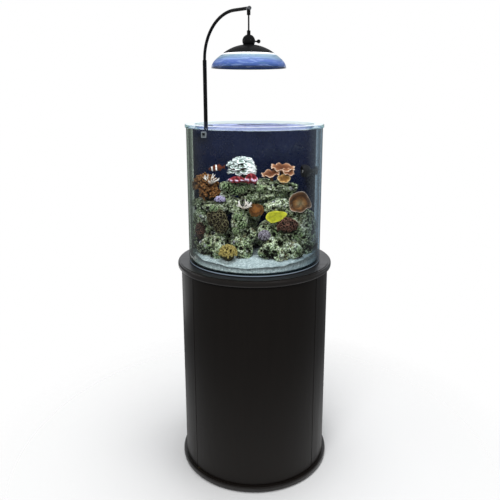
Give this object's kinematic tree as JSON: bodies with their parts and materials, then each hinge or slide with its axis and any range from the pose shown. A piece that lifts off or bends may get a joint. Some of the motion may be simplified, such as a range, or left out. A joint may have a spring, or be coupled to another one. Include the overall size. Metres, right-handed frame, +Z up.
{
  "type": "aquarium on stand",
  "caption": "Cylindrical clear reef aquarium on a round dark wood cabinet stand, with a blue glass pendant lamp hanging over it from a curved black pole.",
  "frame": {"origin": "centre of the circle that the glide pads stand on, at floor level", "axes": "+Z up, -Y towards the front and the cabinet door, +X to the viewer's right from the front"},
  "size_m": [0.5959, 0.596, 1.7725],
  "materials": {
    "espresso_wood": "satin espresso lacquer over fine grain",
    "shelf_board": "satin",
    "bare_wood": "sanded",
    "steel": "zinc plated",
    "brass": "turned",
    "black_plastic": "moulded",
    "white_plastic": "moulded",
    "grey_plastic": "moulded",
    "rubber_pad": "foamed",
    "sponge": "open-cell foam",
    "clear_acrylic": "polished, faint green-blue edges",
    "navy_panel": "gloss",
    "sand": "fine aragonite grains",
    "live_rock": "porous, algae mottled",
    "pale_coral": "rippled plates",
    "pink_coral": "fleshy folds",
    "orange_coral": "leathery plates",
    "tan_coral": "frilled",
    "brown_coral": "ridged",
    "yellow_coral": "frilled",
    "red_coral": "button polyps",
    "black_metal": "semi-gloss black enamel",
    "finial_metal": "polished",
    "cord_cover": "smooth sheath",
    "shade_glass": "blue alabaster swirl",
    "porcelain": "glazed",
    "bulb_glass": "opal",
    "water": "still water surface"
  },
  "bodies": {
    "aquarium": {"glide_pads": "rubber_pad", "base_plate": "espresso_wood", "assembly_screws": "steel", "cabinet_shell": "espresso_wood", "door_jambs": "espresso_wood", "door_pivot_bushes": "brass", "cabinet_shelf": "shelf_board", "shelf_pins": "steel", "top_cleats": "bare_wood", "stand_top": "espresso_wood", "push_latch_body": "black_plastic", "cable_grommet": "black_plastic", "tank_mat": "rubber_pad", "tank_floor": "clear_acrylic", "tank_wall": "clear_acrylic", "top_flange": "clear_acrylic", "rear_partition": "navy_panel", "weir_combs": "black_plastic", "chamber_baffles": "black_plastic", "return_pump": "black_plastic", "return_pipe": "black_plastic", "heater": "black_plastic", "powerhead_mount": "black_plastic", "sand_bed": "sand", "rock_left": "live_rock", "rock_right": "live_rock", "rock_arch": "live_rock", "plate_coral": "pale_coral", "open_corals": "pink_coral", "leather_corals": "orange_coral", "hammer_coral": "tan_coral", "mushroom_corals": "brown_coral", "yellow_corals": "yellow_coral", "zoanthids": "red_coral", "brown_coral": "brown_coral", "pole_collar": "black_metal", "lower_pole": "black_metal"},
    "door": {"cabinet_door": "espresso_wood", "door_pivot_pins": "steel", "strike_plate": "steel"},
    "latch_plunger": {"push_latch_plunger": "white_plastic"},
    "basket": {"media_basket": "black_plastic", "filter_sponge": "sponge"},
    "impeller": {"pump_rotor": "white_plastic"},
    "nozzle": {"return_nozzle": "grey_plastic"},
    "wave_pump": {"powerhead": "black_plastic"},
    "propeller": {"powerhead_propeller": "white_plastic"},
    "clamp_screw": {"lock_screw": "black_metal"},
    "arm": {"curved_arm": "black_metal", "arm_finial": "finial_metal", "cord_hanger": "black_metal"},
    "cord": {"pendant_cord": "cord_cover"},
    "lamp": {"hang_straight_cup": "black_metal", "switch_housing": "black_metal", "lamp_cap": "black_metal", "glass_shade": "shade_glass", "shade_holder": "steel", "lampholder": "porcelain", "bulb": "bulb_glass"},
    "key": {"switch_key": "black_metal"}
  },
  "joints": [
    {"name": "door_hinge", "type": "hinge", "parent": "aquarium", "child": "door", "pos_m": [-0.21484, -0.178, 0.43], "axis": [0, 0, -1], "range_deg": [0, 110]},
    {"name": "latch_press", "type": "slide", "parent": "aquarium", "child": "latch_plunger", "axis": [0.6691, -0.7431, 0], "range_m": [-0.003, 0], "stiffness_N_per_m": 300},
    {"name": "basket_lift", "type": "slide", "parent": "aquarium", "child": "basket", "axis": [0, 0, 1], "range_m": [0, 0.19]},
    {"name": "rotor_spin", "type": "hinge", "parent": "aquarium", "child": "impeller", "pos_m": [-0.092, 0.18, 0.879], "axis": [1, 0, 0], "continuous": true},
    {"name": "nozzle_swivel", "type": "hinge", "parent": "aquarium", "child": "nozzle", "pos_m": [-0.196, 0.083, 1.312], "axis": [0, 1, 0], "range_deg": [-45, 45]},
    {"name": "powerhead_tilt", "type": "hinge", "parent": "aquarium", "child": "wave_pump", "pos_m": [0.19401, 0.03421, 1.176], "axis": [-0.1736, 0.9848, 0], "range_deg": [-25, 25]},
    {"name": "propeller_spin", "type": "hinge", "parent": "wave_pump", "child": "propeller", "pos_m": [0.19401, 0.03421, 1.176], "axis": [0.9848, 0.1736, 0], "continuous": true},
    {"name": "clamp_screw_turn", "type": "hinge", "parent": "aquarium", "child": "clamp_screw", "pos_m": [-0.1973, 0.20123, 1.565], "axis": [0, 1, 0], "continuous": true},
    {"name": "arm_swivel", "type": "hinge", "parent": "aquarium", "child": "arm", "pos_m": [-0.1973, 0.18723, 1.595], "axis": [0, 0, 1], "range_deg": [-90, 90]},
    {"name": "cord_swing", "type": "hinge", "parent": "arm", "child": "cord", "pos_m": [-0.02104, 0.01996, 1.745], "axis": [1, 0, 0], "range_deg": [-10, 10]},
    {"name": "lamp_swing", "type": "hinge", "parent": "cord", "child": "lamp", "pos_m": [-0.02104, 0.01996, 1.685], "axis": [0, 1, 0], "range_deg": [-10, 10]},
    {"name": "switch_turn", "type": "hinge", "parent": "lamp", "child": "key", "pos_m": [0.00896, 0.01996, 1.651], "axis": [1, 0, 0], "continuous": true}
  ]
}
